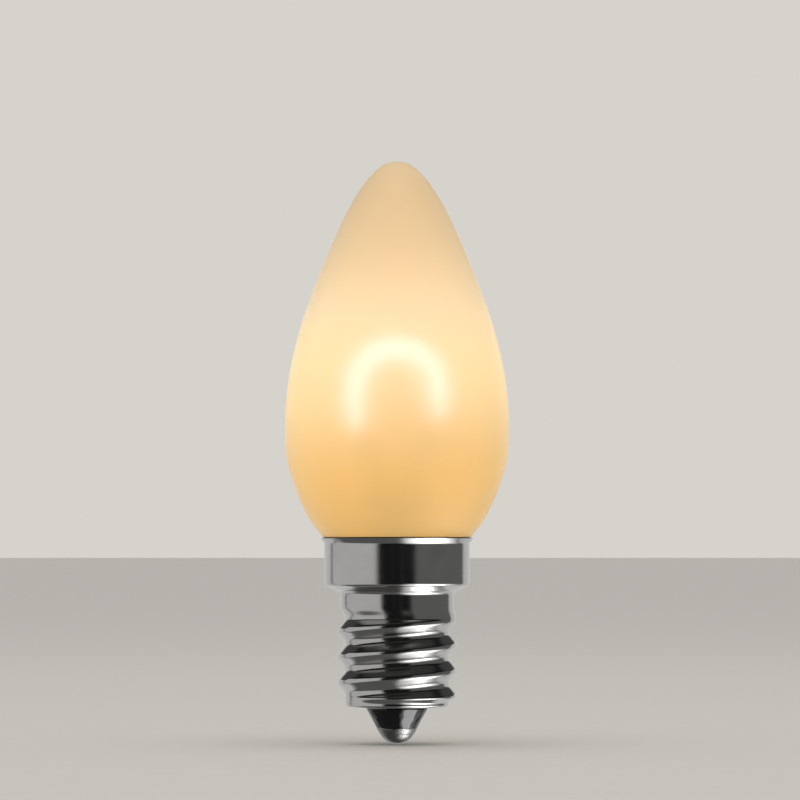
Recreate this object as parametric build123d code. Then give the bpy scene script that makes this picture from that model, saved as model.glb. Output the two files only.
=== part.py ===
from build123d import *
import os
from math import atan2, cos, pi, sin, sqrt, tan

os.makedirs("parts", exist_ok=True)

# LED filament lamp: a frosted candle glass on a rolled screw cap, in millimetres.
# The origin is the tip of the centre contact, on the axis, and +Z runs up to the tip of the glass.

overall_length = 57.8

# Centre contact
nose_height = 1.45
nose_diameter = 3.84
eyelet_bore = 0.9
eyelet_wall = 0.18
eyelet_flange = 2.5
eyelet_rolled_rim = 1.9
solder_rise = 1.6            # solder drawn up into the eyelet, above its flange

# Insulator
cone_height = 2.25
cone_diameter = 6.3
flange_lap = 0.25            # insulator that overlaps the inturned flange of the shell
plug_height = 1.35           # insulator that stands inside the shell

# Screw shell, from its foot upwards
sheet = 0.22
thread_diameter = 11.74
thread_depth = 0.72
thread_pitch = 2.54
crest_radius = 0.55
crest_rise = 1.1             # height of the lowest crest above the foot, on the +X side
section_points = 40          # points of the thread's section round the axis
foot_height = 0.36
foot_corner = 0.3
lower_runout = 0.64
thread_length = 7.72
upper_runout = 1.18
band_height = 1.45
band_step = 0.22             # the plain band lies this far inside the crests
shoulder_height = 0.67
skirt_height = 4.13
lip_height = 0.52
lip_flare = 0.35
neck_bend = 0.5
skirt_bend = 0.38
lip_bend = 0.35

# Cement and glass
cement_thickness = 0.79
neck_diameter = 12.4
neck_length = 0.7
glass_wall = 0.7
lip_clearance = 0.05
shoulder_diameter = 16.45
shoulder_share = 0.033       # shares of the way from the lip of the shell to the tip of the glass
lower_belly_diameter = 21.44
lower_belly_share = 0.185
belly_diameter = 22.22
belly_share = 0.295
taper_diameter = 14.31
taper_share = 0.738
upper_taper_diameter = 10.77
upper_taper_share = 0.845
tip_diameter = 3.76
tip_share = 0.982

# Glass stem
stem_wall = 0.7
flare_room = 0.68            # free height between the flare and the shoulder of the shell
flare_bend = 2.4
stem_diameter = 6.0
stem_rise = 5.4              # heights of the stem are above the seal with the neck
press_rise = 7.4
press_top_rise = 10.3
press_width = 7.0
press_thickness = 2.2
dome_height = 1.0
exhaust_diameter = 2.5
exhaust_bore = 1.4
exhaust_room = 0.45
blow_hole = 0.8

# Leads
seal_gap = 0.01
dumet_diameter = 0.4
dumet_stub = 0.4             # dumet wire that shows above the press
inner_lead_diameter = 0.5
inner_lead_bend = 0.45
outer_lead_diameter = 0.4
outer_lead_bend = 0.8
weld_lap = 1.3
weld_gap = 0.01

# Filament
arch_radius = 4.17
arch_rise = 7.7              # centre of the arch above the press
left_leg = 4.0
right_leg = 2.8
jacket_thickness = 1.1
jacket_width = 1.3
strip_thickness = 0.15
strip_width = 0.8
tab_inside = 0.7
tab_outside = 2.2
chip_length = 0.6
chip_width = 0.3
chip_thickness = 0.15
chip_pitch = 0.95
die_bond = 0.02

# Driver board and what it carries
bore_room = 0.3              # free space kept between the driver and the shell
board_thickness = 0.8
board_room = 0.4             # the board stands this far above the insulator
board_margin = 0.35          # and ends this far above its parts
board_corner = 0.4
hole_margin = 0.75           # side holes lie this far in from the edge of the board
hole_clearance = 0.04
part_gap = 0.15
solder_height = 0.4
solder_width = 1.0
lap_solder_length = 0.9
lead_tail = 0.3              # leads come this far through the board
driver_wire = 0.45
driver_bend = 0.45
rectifier_width = 4.4
rectifier_length = 2.6
rectifier_height = 1.4
rectifier_pitch = 2.5
regulator_width = 2.9
regulator_length = 1.3
regulator_height = 1.1
regulator_pitch = 0.95
leg_width = 0.5
leg_thickness = 0.15
leg_reach = 0.55
resistor_length = 1.25
resistor_width = 0.8
resistor_height = 0.45
resistor_pitch = 1.6
chip_gap = 0.02
capacitor_diameter = 5.0
capacitor_height = 5.4
capacitor_pitch = 2.0
capacitor_room = 0.3
capacitor_rise = 0.55        # the can stands this far above its bent leads
capacitor_crimp = 0.2
capacitor_groove_rise = 1.0
fuse_diameter = 1.7
fuse_waist = 1.45
fuse_cap = 0.75              # length of the bulge at each end
fuse_round = 0.2
fuse_length = 3.4
fuse_rise = 1.3              # height of the fuse above its cross lead
fuse_lead_rise = 0.9
lead_room = 0.12             # clear space between wires that cross
shell_wire_rise = 6.4
shell_wire_reach = 0.9
shell_solder_size = 1.2

# Heights that follow, from the contact up
shell_foot = nose_height + cone_height
insulator_top = shell_foot + sheet + plug_height
thread_foot = shell_foot + foot_height
thread_low = thread_foot + lower_runout
thread_high = thread_low + thread_length
band_low = thread_high + upper_runout
shoulder_low = band_low + band_height
skirt_low = shoulder_low + shoulder_height
lip_low = skirt_low + skirt_height
lip_top = lip_low + lip_height
seal_height = skirt_low + flare_room + stem_wall
neck_top = seal_height + neck_length
stem_top = seal_height + stem_rise
press_foot = seal_height + press_rise
press_top = seal_height + press_top_rise
arch_height = press_top + arch_rise
cross_lead_height = insulator_top + eyelet_wall + lead_room + driver_wire / 2
capacitor_lead_height = cross_lead_height + driver_wire + lead_room
capacitor_foot = capacitor_lead_height + capacitor_rise
capacitor_top = capacitor_foot + capacitor_height
capacitor_groove = capacitor_foot + capacitor_groove_rise
exhaust_tip = capacitor_top + exhaust_room
board_foot = insulator_top + board_room
regulator_z = capacitor_lead_height + solder_width / 2 + part_gap + leg_reach + regulator_length / 2
rectifier_z = regulator_z + regulator_length / 2 + 2 * leg_reach + part_gap + rectifier_length / 2
resistor_z = rectifier_z + rectifier_length / 2 + leg_reach + part_gap + resistor_width / 2
board_top = resistor_z + resistor_width / 2 + board_margin
fuse_foot = cross_lead_height + fuse_rise
fuse_top = fuse_foot + fuse_length

# Radii and places that follow
foot_radius = thread_diameter / 2 - thread_depth
bore_radius = foot_radius - sheet
band_radius = thread_diameter / 2 - band_step
neck_radius = neck_diameter / 2
skirt_radius = neck_radius + cement_thickness + sheet
lip_radius = skirt_radius + lip_flare
flange_radius = cone_diameter / 2 - flange_lap
eyelet_radius = eyelet_bore / 2 + eyelet_wall
stem_radius = stem_diameter / 2
lead_offset = (exhaust_diameter / 2 + stem_radius - stem_wall) / 2
clear_radius = bore_radius - bore_room
board_back = sqrt(clear_radius ** 2 - (rectifier_width / 2) ** 2) - rectifier_height - chip_gap
board_front = board_back - board_thickness
board_half_width = sqrt(clear_radius ** 2 - board_back ** 2)
capacitor_y = board_front - capacitor_room - capacitor_diameter / 2
fuse_x = clear_radius - fuse_diameter / 2
side_hole_x = board_half_width - hole_margin
fuse_hole_height = fuse_top + fuse_lead_rise
shell_hole_height = board_foot + shell_wire_rise


def at(radius, height):
    return Vector(radius, 0, height)


def turned(outline):
    """Solid turned about the axis from a closed outline drawn in the XZ plane."""
    return revolve(make_face(outline), axis=Axis.Z)


def wire_along(points, diameter, bend):
    """Round wire along straight runs with rounded bends."""
    path = FilletPolyline(*points, radius=bend)
    return sweep(Plane(path @ 0, z_dir=path % 0) * Circle(diameter / 2), path=path)


def straight_wire(start, end, diameter):
    run = end - start
    return extrude(Plane(start, z_dir=run) * Circle(diameter / 2), run.length)


def board_hole(x, z):
    """Drill for a lead, right through the board."""
    start = Vector(x, board_front - board_thickness, z)
    end = Vector(x, board_back + board_thickness, z)
    return straight_wire(start, end, driver_wire + 2 * hole_clearance)


# Rolled thread: two tangent arcs to a pitch, the tighter one at the crest
def thread_radius(turns):
    """Outer radius of the thread at a distance, in turns, from a crest."""
    both_radii = ((thread_pitch / 2) ** 2 + thread_depth ** 2) / (2 * thread_depth)
    root_radius = both_radii - crest_radius
    off_crest = abs((turns + 0.5) % 1 - 0.5) * thread_pitch
    if off_crest <= crest_radius * thread_pitch / 2 / both_radii:
        return thread_diameter / 2 - crest_radius + sqrt(crest_radius ** 2 - off_crest ** 2)
    off_root = thread_pitch / 2 - off_crest
    return foot_radius + root_radius - sqrt(root_radius ** 2 - off_root ** 2)


def thread_section(inset):
    """Section of the thread square to the axis, at the foot of its full depth."""
    points = []
    for i in range(section_points):
        turn = i / section_points
        radius = thread_radius((thread_low - shell_foot - crest_rise) / thread_pitch - turn) - inset
        points.append(Vector(radius * cos(2 * pi * turn), radius * sin(2 * pi * turn), thread_low))
    return Wire([Edge.make_spline(points, periodic=True)])


def side_faces(solid):
    return list(solid.faces().filter_by(GeomType.PLANE, reverse=True))


def threaded_wall(inset):
    """Faces of the thread, twisted up the axis, and of the run-outs that fade it into round rims."""
    turn = 360 * thread_length / thread_pitch
    section = Face(thread_section(inset))
    thread = Solid.extrude_linear_with_rotation(section, at(0, thread_low), at(0, thread_length), turn)
    ends = thread.faces().filter_by(GeomType.PLANE).sort_by(Axis.Z)
    start = Vector(cos(pi * turn / 180), sin(pi * turn / 180), 0)
    foot_rim = Wire.make_circle(foot_radius - inset, Plane(at(0, thread_foot)))
    band_rim = Wire.make_circle(band_radius - inset, Plane(at(0, band_low), x_dir=start, z_dir=(0, 0, 1)))
    lower = Solid.make_loft([foot_rim, ends[0].outer_wire()], ruled=True)
    upper = Solid.make_loft([ends[-1].outer_wire(), band_rim], ruled=True)
    return side_faces(lower) + side_faces(thread) + side_faces(upper)


def mitred(points, inset):
    """Points of an open outline moved inwards by the thickness of a sheet."""
    normals = []
    for a, b in zip(points, points[1:]):
        normals.append(Vector(a.Z - b.Z, 0, b.X - a.X).normalized())
    moved = [points[0] + normals[0] * inset]
    for point, before, after in zip(points[1:], normals, normals[1:]):
        moved.append(point + (before + after) * (inset / (1 + before.dot(after))))
    return moved + [points[-1] + normals[-1] * inset]


def shell_foot_faces():
    """Plain rim below the thread, turned in to the flange that grips the insulator."""
    outer = FilletPolyline(
        at(flange_radius, shell_foot),
        at(foot_radius, shell_foot),
        at(foot_radius, thread_foot),
        radius=foot_corner,
    )
    inner = FilletPolyline(
        at(foot_radius - sheet, thread_foot),
        at(foot_radius - sheet, shell_foot + sheet),
        at(flange_radius, shell_foot + sheet),
        radius=foot_corner - sheet,
    )
    rim = Line(outer @ 1, inner @ 0)
    edge = Line(inner @ 1, outer @ 0)
    foot = turned([outer, rim, inner, edge])
    return [face for face in foot.faces() if face.center().Z < thread_foot - seal_gap]


def cap_top_points():
    """Corners of the band, shoulder, skirt and flared lip, up the outside."""
    return [
        at(band_radius, band_low),
        at(band_radius, shoulder_low),
        at(skirt_radius, skirt_low),
        at(skirt_radius, lip_low),
        at(lip_radius, lip_top),
    ]


def cap_top_faces():
    """Band, shoulder, skirt and flared lip above the thread."""
    outer_points = cap_top_points()
    inner_points = mitred(outer_points, sheet)
    outer = FilletPolyline(*outer_points, radius=[neck_bend, skirt_bend, lip_bend])
    inner = FilletPolyline(*inner_points, radius=[neck_bend + sheet, skirt_bend - sheet, lip_bend + sheet])
    foot = Line(inner @ 0, outer @ 0)
    rim = Line(outer @ 1, inner @ 1)
    top = turned([outer, rim, inner, foot])
    top = top.rotate(Axis.Z, 360 * thread_length / thread_pitch)
    return [face for face in top.faces() if face.center().Z > band_low + seal_gap]


def screw_shell():
    """Shell drawn from one sheet, with the thread rolled in it."""
    walls = threaded_wall(0) + threaded_wall(sheet)
    return Solid(Shell(shell_foot_faces() + walls + cap_top_faces()))


# Insulator, eyelet and solder nose, turned about the axis
def base_insulator():
    """Black glass that grips the flange of the shell between its cone and its plug."""
    bore = eyelet_radius + seal_gap
    plug = foot_radius - foot_corner - seal_gap
    throat = flange_radius - seal_gap
    outline = Polyline(
        at(bore, nose_height),
        at(nose_diameter / 2, nose_height),
        at(cone_diameter / 2, shell_foot),
        at(throat, shell_foot),
        at(throat, shell_foot + sheet),
        at(plug, shell_foot + sheet),
        at(plug, insulator_top),
        at(bore, insulator_top),
        close=True,
    )
    return turned(outline)


def contact_eyelet():
    """Rivet through the insulator, flanged below and rolled over above."""
    outline = Polyline(
        at(eyelet_bore / 2, nose_height - eyelet_wall),
        at(eyelet_flange / 2, nose_height - eyelet_wall),
        at(eyelet_flange / 2, nose_height),
        at(eyelet_radius, nose_height),
        at(eyelet_radius, insulator_top),
        at(eyelet_rolled_rim / 2, insulator_top),
        at(eyelet_rolled_rim / 2, insulator_top + eyelet_wall),
        at(eyelet_bore / 2, insulator_top + eyelet_wall),
        close=True,
    )
    return turned(outline)


def contact_solder():
    """Nose that carries on the slope of the cone to a round tip, drawn up the eyelet about the lead."""
    nose = nose_diameter / 2
    slope = atan2(cone_diameter / 2 - nose, cone_height)
    tip = (nose - nose_height * tan(slope)) / (cos(slope) - tan(slope) * (1 - sin(slope)))
    turn = pi / 2 - slope
    tangent = at(tip * sin(turn), tip * (1 - cos(turn)))
    half_way = at(tip * sin(turn / 2), tip * (1 - cos(turn / 2)))
    rounded = ThreePointArc(at(0, 0), half_way, tangent)
    side = Line(tangent, at(nose, nose_height))
    flange = nose_height - eyelet_wall
    lead = driver_wire / 2
    inside = Polyline(
        at(nose, nose_height),
        at(eyelet_flange / 2, nose_height),
        at(eyelet_flange / 2, flange),
        at(eyelet_bore / 2, flange),
        at(eyelet_bore / 2, flange + solder_rise),
        at(lead, flange + solder_rise),
        at(lead, nose_height / 2),
        at(0, nose_height / 2),
        at(0, 0),
    )
    return turned([rounded, side, inside])


# Blown glass: smooth curves through the stations of the neck, belly, taper and tip
def glass_station(diameter, share):
    return at(diameter / 2, lip_top + share * (overall_length - lip_top))


def glass_curves(inset):
    """Curves from the neck to the belly and from the belly to the tip, moved in by a wall."""
    up = Vector(0, 0, 1)
    inward = Vector(-1, 0, 0)
    belly = glass_station(belly_diameter, belly_share)
    rim = mitred(cap_top_points(), sheet)[-1]
    lower = [
        at(neck_radius, neck_top),
        rim - at(lip_clearance, 0),
        glass_station(shoulder_diameter, shoulder_share),
        glass_station(lower_belly_diameter, lower_belly_share),
        belly,
    ]
    upper = [
        belly,
        glass_station(taper_diameter, taper_share),
        glass_station(upper_taper_diameter, upper_taper_share),
        glass_station(tip_diameter, tip_share),
        at(0, overall_length),
    ]
    curves = []
    for stations, ends in ((lower, [up, up]), (upper, [up, inward])):
        curve = Spline(*stations, tangents=ends)
        moved = []
        for station in stations:
            along = curve.tangent_at(station)
            moved.append(station - Vector(along.Z, 0, -along.X) * inset)
        curves.append(Spline(*moved, tangents=ends))
    return curves


def glass_filled():
    """The outer form of the glass as a full solid, which the cement is cast against."""
    lower, upper = glass_curves(0)
    outline = [Line(at(neck_radius, seal_height), lower @ 0), lower, upper]
    return turned(outline + [Polyline(upper @ 1, at(0, seal_height), at(neck_radius, seal_height))])


def glass_envelope():
    """Blown candle glass of even wall, open at the neck."""
    lower, upper = glass_curves(0)
    inner_lower, inner_upper = glass_curves(glass_wall)
    inner_neck = at(neck_radius - glass_wall, seal_height)
    outline = [
        Line(at(neck_radius, seal_height), lower @ 0),
        lower,
        upper,
        Line(upper @ 1, inner_upper @ 1),
        inner_upper,
        inner_lower,
        Line(inner_lower @ 0, inner_neck),
        Line(inner_neck, at(neck_radius, seal_height)),
    ]
    return turned(outline)


def basing_cement():
    """Ring of cement between the neck of the glass and the skirt."""
    height = lip_low - seal_height
    ring = Pos(0, 0, seal_height + height / 2) * Cylinder(skirt_radius - sheet, height)
    return ring - glass_filled()


# Glass stem: flare, tube and flat press, with the sealed exhaust tube
def stem_outline():
    """Flare, tube and press turned about the axis, before the press is flattened."""
    rim = neck_radius
    bend = stem_radius + flare_bend
    corner = flare_bend * (1 - sqrt(0.5))
    sweep_up = ThreePointArc(
        at(bend, seal_height),
        at(stem_radius + corner, seal_height + corner),
        at(stem_radius, seal_height + flare_bend),
    )
    side = Polyline(
        at(stem_radius, seal_height + flare_bend),
        at(stem_radius, stem_top),
        at(press_width / 2, press_foot),
        at(press_width / 2, press_top),
        at(0, press_top),
        at(0, seal_height - stem_wall),
        at(rim, seal_height - stem_wall),
        at(rim, seal_height),
        at(bend, seal_height),
    )
    return [sweep_up, side]


def stem_cavity():
    """Hollow of the flare and tube, domed below the press."""
    inner = stem_radius - stem_wall
    bend = stem_radius + flare_bend
    outer_bend = flare_bend + stem_wall
    corner = outer_bend * (1 - sqrt(0.5))
    foot = seal_height - stem_wall
    bend_top = at(inner, foot + outer_bend)
    sweep_up = ThreePointArc(at(bend, foot), at(inner + corner, foot + corner), bend_top)
    tube = Line(bend_top, at(inner, stem_top))
    dome = (inner ** 2 + dome_height ** 2) / (2 * dome_height)
    half_turn = atan2(inner, dome - dome_height) / 2
    crown = stem_top + dome_height
    half_way = at(dome * sin(half_turn), crown - dome * (1 - cos(half_turn)))
    dome_arc = ThreePointArc(at(inner, stem_top), half_way, at(0, crown))
    return turned([sweep_up, tube, dome_arc, Polyline(at(0, crown), at(0, foot), at(bend, foot))])


def exhaust_tube(diameter, tip, top):
    """Round rod of the exhaust tube with a rounded tip, up into the press."""
    radius = diameter / 2
    rod = Pos(0, 0, (tip + radius + top) / 2) * Cylinder(radius, top - tip - radius)
    return rod + Pos(0, 0, tip + radius) * Sphere(radius)


def glass_stem():
    """Flared tube pinched flat round the two lead wires."""
    half = press_thickness / 2
    flats = Polyline(
        (0, -neck_radius, exhaust_tip),
        (0, -neck_radius, stem_top),
        (0, -stem_radius, stem_top),
        (0, -half, press_foot),
        (0, -half, press_top),
        (0, half, press_top),
        (0, half, press_foot),
        (0, stem_radius, stem_top),
        (0, neck_radius, stem_top),
        (0, neck_radius, exhaust_tip),
        close=True,
    )
    slab = extrude(make_face(flats), amount=neck_radius, dir=(1, 0, 0), both=True)
    wall = (exhaust_diameter - exhaust_bore) / 2
    vent_height = (stem_top + dome_height + press_foot) / 2
    tube = exhaust_tube(exhaust_diameter, exhaust_tip, vent_height)
    bore = exhaust_tube(exhaust_bore, exhaust_tip + wall, press_foot)
    vent = straight_wire(at(0, vent_height), Vector(0, press_width, vent_height), blow_hole)
    stem = (turned(stem_outline()) & slab) - stem_cavity()
    stem = stem + tube - bore - vent
    for side in (-1, 1):
        seat = at(side * lead_offset, stem_top)
        stem = stem - straight_wire(seat, at(side * lead_offset, press_top), dumet_diameter + 2 * seal_gap)
    return stem


# Leads, from the driver board up to the filament; side is -1 on the left and 1 on the right
def leg_length(side):
    return left_leg if side < 0 else right_leg


def tab_foot(side):
    return arch_height - leg_length(side) - tab_outside


def dumet_seal(side):
    start = at(side * lead_offset, stem_top)
    return straight_wire(start, at(side * lead_offset, press_top + dumet_stub), dumet_diameter)


def inner_lead(side):
    """Nickel wire from the press out to the inner face of the filament's tab."""
    foot = press_top + dumet_stub
    weld = arch_radius - strip_thickness / 2 - weld_gap - inner_lead_diameter / 2
    weld_foot = tab_foot(side) + inner_lead_bend
    points = [
        at(side * lead_offset, foot),
        at(side * lead_offset, foot + inner_lead_diameter),
        at(side * weld, weld_foot),
        at(side * weld, weld_foot + weld_lap),
    ]
    return wire_along(points, inner_lead_diameter, inner_lead_bend)


def lap_point(side):
    """Upper end of the outer lead's lap on the front of the board."""
    return Vector(side * (lead_offset + outer_lead_bend), board_front - outer_lead_diameter / 2, board_top)


def outer_lead(side):
    """Copper wire down the stem to its lap joint on the board."""
    lap = lap_point(side)
    points = [
        at(side * lead_offset, stem_top),
        at(side * lead_offset, seal_height),
        lap + Vector(0, 0, outer_lead_bend),
        lap - Vector(0, 0, lap_solder_length),
    ]
    return wire_along(points, outer_lead_diameter, outer_lead_bend)


# Filament: a flexible strip of chips in a phosphor jacket, bent to an arch in the XZ plane
def arch_band(inside, outside, left_end, right_end, width):
    """Flat band that follows the arch between two radii and the ends of its legs."""
    left = arch_height - left_end
    right = arch_height - right_end
    top = at(0, arch_height)
    outline = [
        Line(at(-outside, left), at(-outside, arch_height)),
        ThreePointArc(at(-outside, arch_height), top + at(0, outside), at(outside, arch_height)),
        Polyline(at(outside, arch_height), at(outside, right), at(inside, right), at(inside, arch_height)),
        ThreePointArc(at(inside, arch_height), top + at(0, inside), at(-inside, arch_height)),
        Polyline(at(-inside, arch_height), at(-inside, left), at(-outside, left)),
    ]
    return extrude(make_face(outline), amount=width / 2, dir=(0, 1, 0), both=True)


def filament_strip():
    """Carrier of the chips, between the two tabs."""
    inside = arch_radius - strip_thickness / 2
    outside = arch_radius + strip_thickness / 2
    return arch_band(inside, outside, left_leg - tab_inside, right_leg - tab_inside, strip_width)


def filament_tab(side):
    """Metal end of the filament, in line with the strip."""
    height = tab_inside + tab_outside
    middle = tab_foot(side) + height / 2
    return Pos(side * arch_radius, 0, middle) * Box(strip_thickness, strip_width, height)


def filament_place(run):
    """Plane on the strip's outer face at a distance along it from the end of the left leg."""
    bend = pi * arch_radius
    if run < left_leg:
        outward = at(-1, 0)
        point = at(-arch_radius, arch_height - left_leg + run)
    elif run < left_leg + bend:
        turn = pi - (run - left_leg) / arch_radius
        outward = at(cos(turn), sin(turn))
        point = at(0, arch_height) + outward * arch_radius
    else:
        outward = at(1, 0)
        point = at(arch_radius, arch_height - (run - left_leg - bend))
    return Plane(point + outward * (strip_thickness / 2 + die_bond), x_dir=(0, 1, 0), z_dir=outward)


def led_chips():
    """Row of chips along the outer face of the strip."""
    lit = left_leg + pi * arch_radius + right_leg
    count = int((lit - 2 * tab_inside) / chip_pitch)
    first = (lit - (count - 1) * chip_pitch) / 2
    chips = []
    for i in range(count):
        place = filament_place(first + i * chip_pitch)
        chips.append(place * Pos(0, 0, chip_thickness / 2) * Box(chip_width, chip_length, chip_thickness))
    return chips


def phosphor_jacket(held):
    """Oval phosphor coating of the arch, moulded round the strip, the chips and the tabs' ends."""
    left = at(-arch_radius, arch_height)
    right = at(arch_radius, arch_height)
    path = Wire([
        Line(left - at(0, left_leg), left),
        ThreePointArc(left, at(0, arch_height + arch_radius), right),
        Line(right, right - at(0, right_leg)),
    ])
    oval = Ellipse(jacket_thickness / 2, jacket_width / 2)
    section = Plane(path @ 0, x_dir=(1, 0, 0), z_dir=path % 0) * oval
    return sweep(section, path=path) - held


# Driver board, upright in the shell behind the axis, with its parts on the back
def lead_holes():
    """Places of the leads that pass through the board."""
    return [
        (-capacitor_pitch / 2, capacitor_lead_height),
        (capacitor_pitch / 2, capacitor_lead_height),
        (side_hole_x, fuse_hole_height),
        (-side_hole_x, shell_hole_height),
    ]


def driver_board():
    middle = Vector(0, (board_front + board_back) / 2, (board_foot + board_top) / 2)
    board = Pos(middle) * Box(2 * board_half_width, board_thickness, board_top - board_foot)
    board = fillet(board.edges().filter_by(Axis.Y), board_corner)
    for x, z in lead_holes():
        board = board - board_hole(x, z)
    return board


def board_place(z):
    """Plane on the back of the board, facing away from it, with its Y along +Z."""
    return Plane((0, board_back, z), x_dir=(-1, 0, 0), z_dir=(0, 1, 0))


def package(z, width, length, height):
    """Moulded body of a chip, lifted off the board, with a chamfered top."""
    body = board_place(z) * Pos(0, 0, chip_gap + height / 2) * Box(width, length, height)
    rim = body.faces().sort_by(Axis.Y)[-1].edges()
    return chamfer(rim, height / 8)


def gull_leg(x, length, height):
    """Leg bent out of a chip's side and down to a foot on the board, drawn about the chip's centre."""
    side = length / 2
    knee = height / 2
    bend = Polyline(
        (x, side, knee),
        (x, side + leg_reach / 2, knee),
        (x, side + leg_reach / 2, leg_thickness),
        (x, side + leg_reach, leg_thickness),
        (x, side + leg_reach, 0),
        (x, side + leg_reach / 2 - leg_thickness, 0),
        (x, side + leg_reach / 2 - leg_thickness, knee - leg_thickness),
        (x, side, knee - leg_thickness),
        close=True,
    )
    return extrude(make_face(bend), amount=leg_width / 2, dir=(1, 0, 0), both=True)


def bridge_rectifier():
    return package(rectifier_z, rectifier_width, rectifier_length, rectifier_height)


def rectifier_legs():
    """Four legs, two at each end of the rectifier."""
    legs = []
    for turn in (0, 180):
        for x in (-rectifier_pitch / 2, rectifier_pitch / 2):
            leg = Rot(0, 0, turn) * gull_leg(x, rectifier_length, rectifier_height)
            legs.append(board_place(rectifier_z) * leg)
    return legs


def regulator_chip():
    return package(regulator_z, regulator_width, regulator_length, regulator_height)


def regulator_legs():
    """Three legs of the current regulator, two below and one above."""
    legs = []
    for turn, x in ((0, 0), (180, -regulator_pitch), (180, regulator_pitch)):
        leg = Rot(0, 0, turn) * gull_leg(x, regulator_length, regulator_height)
        legs.append(board_place(regulator_z) * leg)
    return legs


def chip_resistors():
    """Three chip resistors in a row near the top of the board."""
    place = board_place(resistor_z) * Pos(0, 0, chip_gap + resistor_height / 2)
    chip = Box(resistor_length, resistor_width, resistor_height)
    return [place * Pos(i * resistor_pitch, 0, 0) * chip for i in (-1, 0, 1)]


def smoothing_capacitor():
    """Electrolytic can in front of the board, crimped near its foot."""
    can = capacitor_diameter / 2
    foot = capacitor_foot
    crimp = capacitor_crimp
    outline = Polyline(
        at(0, foot),
        at(can - crimp, foot),
        at(can, foot + crimp),
        at(can, capacitor_groove - crimp),
        at(can - crimp, capacitor_groove),
        at(can, capacitor_groove + crimp),
        at(can, capacitor_top - crimp),
        at(can - crimp, capacitor_top),
        at(0, capacitor_top),
        close=True,
    )
    return Pos(0, capacitor_y, 0) * turned(outline)


def capacitor_leads():
    """Two wires bent from under the can back through the board."""
    leads = []
    for x in (-capacitor_pitch / 2, capacitor_pitch / 2):
        points = [
            Vector(x, capacitor_y, capacitor_foot),
            Vector(x, capacitor_y, capacitor_lead_height),
            Vector(x, board_back + lead_tail, capacitor_lead_height),
        ]
        leads.append(wire_along(points, driver_wire, driver_bend))
    return leads


def fuse_resistor():
    """Film resistor with rounded bulged ends, upright beside the can."""
    end = fuse_diameter / 2
    waist = fuse_waist / 2
    slope = fuse_cap + fuse_round
    profile = FilletPolyline(
        at(0, fuse_foot),
        at(end, fuse_foot),
        at(end, fuse_foot + fuse_cap),
        at(waist, fuse_foot + slope),
        at(waist, fuse_top - slope),
        at(end, fuse_top - fuse_cap),
        at(end, fuse_top),
        at(0, fuse_top),
        radius=fuse_round,
    )
    return Pos(fuse_x, 0, 0) * turned([profile, Line(profile @ 1, profile @ 0)])


def fuse_lead_contact():
    """Wire from the solder nose up through the eyelet and across to the resistor."""
    points = [
        at(0, nose_height / 2),
        at(0, cross_lead_height),
        at(fuse_x, cross_lead_height),
        at(fuse_x, fuse_foot),
    ]
    return wire_along(points, driver_wire, driver_bend)


def fuse_lead_board():
    """Wire from the top of the resistor back through the board."""
    points = [
        at(fuse_x, fuse_top),
        at(fuse_x, fuse_hole_height),
        Vector(side_hole_x, board_front - driver_wire, fuse_hole_height),
        Vector(side_hole_x, board_back + lead_tail, fuse_hole_height),
    ]
    return wire_along(points, driver_wire, driver_bend)


def shell_wire_points():
    """Route from the board forward, then up and out to the band of the shell."""
    front = board_front - shell_wire_reach
    wall = band_radius - sheet - driver_wire
    reach = sqrt(wall ** 2 - front ** 2)
    return [
        Vector(-side_hole_x, board_back + lead_tail, shell_hole_height),
        Vector(-side_hole_x, front, shell_hole_height),
        Vector(-reach, front, band_low),
        Vector(-reach, front, shoulder_low),
    ]


def shell_wire():
    return wire_along(shell_wire_points(), driver_wire, driver_bend)


def shell_solder(wire):
    """Drop of solder that joins the wire to the inside of the band."""
    end = shell_wire_points()[-1]
    middle = Vector(end.X, end.Y, (band_low + shoulder_low) / 2)
    inside = Pos(0, 0, middle.Z) * Cylinder(band_radius - sheet, band_height)
    return (Pos(middle) * Sphere(shell_solder_size / 2) & inside) - wire


def board_solder(wires):
    """Cones of solder on the back of the board and laps on its front."""
    joints = []
    for x, z in lead_holes():
        cone = Cone(solder_width / 2, driver_wire / 2 + hole_clearance, solder_height)
        seat = Plane((x, board_back, z), z_dir=(0, 1, 0))
        joints.append(seat * Pos(0, 0, solder_height / 2) * cone - wires)
    for side in (-1, 1):
        lap = lap_point(side)
        middle = Vector(lap.X, board_front, board_top - lap_solder_length / 2)
        drop = Pos(middle) * Sphere(solder_width / 2)
        joints.append(split(drop, Plane(middle, z_dir=(0, -1, 0)), keep=Keep.TOP) - wires)
    return joints


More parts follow.
